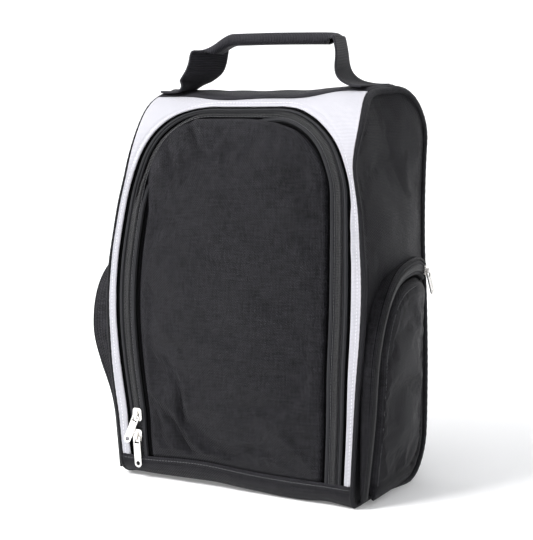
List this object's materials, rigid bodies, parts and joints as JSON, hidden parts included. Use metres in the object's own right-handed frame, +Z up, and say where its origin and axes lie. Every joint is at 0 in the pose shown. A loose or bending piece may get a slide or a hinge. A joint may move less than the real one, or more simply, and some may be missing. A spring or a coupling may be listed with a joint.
{
  "type": "golf shoe bag",
  "caption": "Upright zipped fabric shoe bag with a fold-down front door, two zipped side pockets and a webbing carry handle.",
  "frame": {"origin": "middle of the base, on the floor", "axes": "+Z up through the handle, -Y out of the door, +X towards the right-hand side pocket as the door is faced"},
  "size_m": [0.267, 0.1396, 0.388],
  "materials": {
    "black_cloth": "fine woven polyester, soft sheen",
    "white_cloth": "fine woven polyester, soft sheen",
    "foam": "open-cell padding sheet",
    "lining_cloth": "thin taffeta",
    "piping_cloth": "corded edge, woven",
    "binding_tape": "grosgrain tape",
    "zip_coil": "moulded nylon coil",
    "zip_tape": "knitted zip tape",
    "nickel": "polished nickel plate",
    "webbing": "coarse woven polyester webbing"
  },
  "bodies": {
    "bag": {"base_panel": "black_cloth", "back_panel": "black_cloth", "front_yoke": "white_cloth", "left_side_panel": "black_cloth", "right_side_panel": "black_cloth", "base_foam": "foam", "back_foam": "foam", "yoke_foam": "foam", "left_side_foam": "foam", "right_side_foam": "foam", "body_lining": "lining_cloth", "left_seam_binding": "binding_tape", "right_seam_binding": "binding_tape", "left_piping": "piping_cloth", "right_piping": "piping_cloth", "main_zip_outer_tape": "zip_tape", "main_zip_outer_coil": "zip_coil", "door_base_tape": "zip_tape", "door_base_coil": "zip_coil", "door_base_panel": "black_cloth", "door_base_foam": "foam", "door_base_lining": "lining_cloth", "top_strip": "webbing", "left_handle_anchor": "webbing", "right_handle_anchor": "webbing", "left_pocket_outer_tape": "zip_tape", "left_pocket_outer_coil": "zip_coil", "left_pocket_gusset": "black_cloth", "left_pocket_end_coil": "zip_coil", "left_pocket_end_tape": "zip_tape", "left_pocket_lower_panel": "black_cloth", "right_pocket_outer_tape": "zip_tape", "right_pocket_outer_coil": "zip_coil", "right_pocket_gusset": "black_cloth", "right_pocket_end_coil": "zip_coil", "right_pocket_end_tape": "zip_tape", "right_pocket_lower_panel": "black_cloth"},
    "front_door": {"door_panel": "black_cloth", "door_foam": "foam", "door_lining": "lining_cloth", "door_tape": "zip_tape", "door_coil": "zip_coil"},
    "handle": {"left_handle_leg": "webbing", "right_handle_leg": "webbing", "handle_grip": "webbing"},
    "main_upper_slider": {"main_upper_slider": "nickel"},
    "main_upper_pull": {"main_upper_pull": "nickel"},
    "main_lower_slider": {"main_lower_slider": "nickel"},
    "main_lower_pull": {"main_lower_pull": "nickel"},
    "left_pocket_flap": {"left_pocket_flap_panel": "black_cloth", "left_pocket_flap_tape": "zip_tape", "left_pocket_flap_coil": "zip_coil"},
    "left_pocket_slider": {"left_pocket_slider": "nickel"},
    "left_pocket_pull": {"left_pocket_pull": "nickel"},
    "right_pocket_flap": {"right_pocket_flap_panel": "black_cloth", "right_pocket_flap_tape": "zip_tape", "right_pocket_flap_coil": "zip_coil"},
    "right_pocket_slider": {"right_pocket_slider": "nickel"},
    "right_pocket_pull": {"right_pocket_pull": "nickel"}
  },
  "joints": [
    {"name": "door_fold", "type": "hinge", "parent": "bag", "child": "front_door", "pos_m": [0, -0.0656, 0.069], "axis": [1, 0, 0], "range_deg": [0, 100]},
    {"name": "handle_swing", "type": "hinge", "parent": "bag", "child": "handle", "pos_m": [0, -0.004, 0.342], "axis": [1, 0, 0], "range_deg": [-75, 75], "deforming": ["left_handle_leg", "right_handle_leg"]},
    {"name": "main_upper_slide", "type": "slide", "parent": "bag", "child": "main_upper_slider", "axis": [0, 0, 1], "range_m": [0, 0.19]},
    {"name": "main_upper_pull_swing", "type": "hinge", "parent": "main_upper_slider", "child": "main_upper_pull", "pos_m": [-0.0955, -0.0683, 0.0563], "axis": [-0.9135, 0, 0.4067], "range_deg": [0, 120]},
    {"name": "main_lower_slide", "type": "slide", "parent": "bag", "child": "main_lower_slider", "axis": [0, 0, 1], "range_m": [-0.008, 0]},
    {"name": "main_lower_pull_swing", "type": "hinge", "parent": "main_lower_slider", "child": "main_lower_pull", "pos_m": [-0.0955, -0.0683, 0.0373], "axis": [-0.9976, 0, -0.0698], "range_deg": [0, 120]},
    {"name": "left_pocket_fold", "type": "hinge", "parent": "bag", "child": "left_pocket_flap", "pos_m": [-0.12124, -0.05184, 0.02584], "axis": [0.0267, -0.5109, -0.8592], "range_deg": [0, 70]},
    {"name": "left_pocket_slide", "type": "hinge", "parent": "bag", "child": "left_pocket_slider", "pos_m": [-0.11993, 0.02345, 0.11494], "axis": [0.9875, -0.12, 0.102], "range_deg": [0, 108]},
    {"name": "left_pocket_pull_swing", "type": "hinge", "parent": "left_pocket_slider", "child": "left_pocket_pull", "pos_m": [-0.12734, 0.05451, 0.18403], "axis": [0.0468, 0.8419, 0.5376], "range_deg": [0, 110]},
    {"name": "right_pocket_fold", "type": "hinge", "parent": "bag", "child": "right_pocket_flap", "pos_m": [0.12124, -0.05184, 0.02584], "axis": [0.0267, 0.5109, 0.8592], "range_deg": [0, 70]},
    {"name": "right_pocket_slide", "type": "hinge", "parent": "bag", "child": "right_pocket_slider", "pos_m": [0.11993, 0.02345, 0.11494], "axis": [0.9875, 0.12, -0.102], "range_deg": [0, 108]},
    {"name": "right_pocket_pull_swing", "type": "hinge", "parent": "right_pocket_slider", "child": "right_pocket_pull", "pos_m": [0.12734, 0.05451, 0.18403], "axis": [0.0468, -0.8419, -0.5376], "range_deg": [0, 110]}
  ]
}
